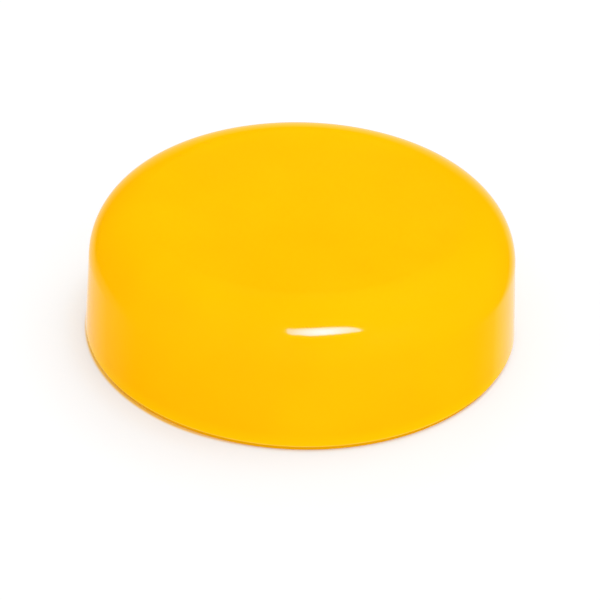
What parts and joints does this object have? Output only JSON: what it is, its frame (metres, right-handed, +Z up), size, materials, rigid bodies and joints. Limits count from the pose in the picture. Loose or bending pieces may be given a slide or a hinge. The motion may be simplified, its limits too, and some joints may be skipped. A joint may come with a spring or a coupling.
{
  "type": "jar lid",
  "caption": "Smooth round screw-on jar lid with a shallow dished top, a large rounded edge and a stepped lip at its foot.",
  "frame": {"origin": "centre of the foot ring, on the surface that the lid stands on, mouth down", "axes": "+Z up along the lid's axis, from the mouth towards the closed top; the lid is round, so +X and +Y are any two sides"},
  "size_m": [0.075, 0.075, 0.0234],
  "materials": {
    "lid_plastic": "glossy golden-yellow moulded polypropylene"
  },
  "bodies": {
    "root": {"lid": "lid_plastic"}
  },
  "joints": []
}
